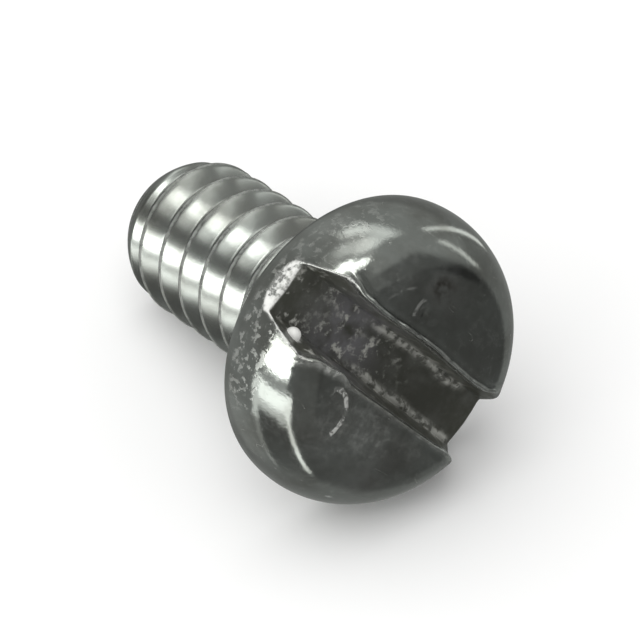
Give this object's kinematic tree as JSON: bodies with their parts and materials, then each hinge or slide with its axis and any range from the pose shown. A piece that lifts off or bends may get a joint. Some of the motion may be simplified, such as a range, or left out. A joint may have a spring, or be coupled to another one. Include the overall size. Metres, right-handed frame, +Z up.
{
  "type": "pan head machine screw",
  "caption": "Short slotted pan head machine screw of plated steel with a right-hand coarse thread to near the head, lying on its side.",
  "frame": {"origin": "centre of the bearing face under the head, on the screw's axis", "axes": "+Z up as the screw lies on its side, +X toward the head, the axis from head to tip leans 15.3 degrees below -X"},
  "size_m": [0.0128, 0.0092, 0.0091],
  "materials": {
    "plated_steel": "gloss"
  },
  "bodies": {
    "root": {"screw": "plated_steel"}
  },
  "joints": []
}
